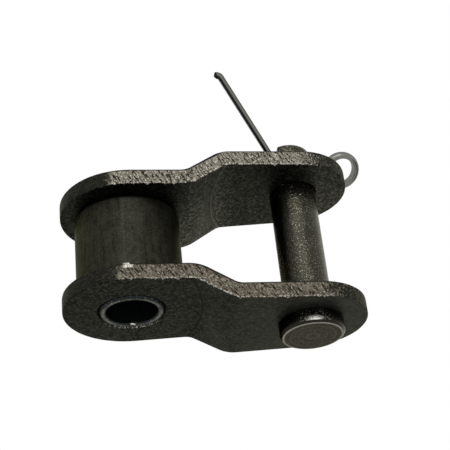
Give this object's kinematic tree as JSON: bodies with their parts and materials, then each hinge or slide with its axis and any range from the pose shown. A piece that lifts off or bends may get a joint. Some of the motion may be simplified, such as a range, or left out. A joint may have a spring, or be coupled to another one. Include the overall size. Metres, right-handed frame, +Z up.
{
  "type": "offset roller chain link",
  "caption": "Offset roller chain link: cranked plates join a roller and bushing end to a cottered pin end, to close a chain with an odd number of pitches.",
  "frame": {"origin": "centre of the bushing, midway between the plates", "axes": "+X from the bushing's axis to the pin's axis, +Y along the bushing towards the cotter, +Z up; the link stands on the lower edges of its plates"},
  "size_m": [0.0233, 0.0191, 0.0114],
  "materials": {
    "plate_steel": "black oxide, oiled",
    "bushing_steel": "hardened, dark",
    "roller_steel": "hardened, dark, polished",
    "pin_steel": "hardened, dark",
    "cotter_steel": "bright drawn wire"
  },
  "bodies": {
    "link": {"near_plate": "plate_steel", "far_plate": "plate_steel", "bushing": "bushing_steel", "pin": "pin_steel", "cotter": "cotter_steel"},
    "roller": {"roller": "roller_steel"}
  },
  "joints": [
    {"name": "roller_spin", "type": "hinge", "parent": "link", "child": "roller", "pos_m": [0, 0, 0], "axis": [0, 1, 0], "continuous": true}
  ]
}
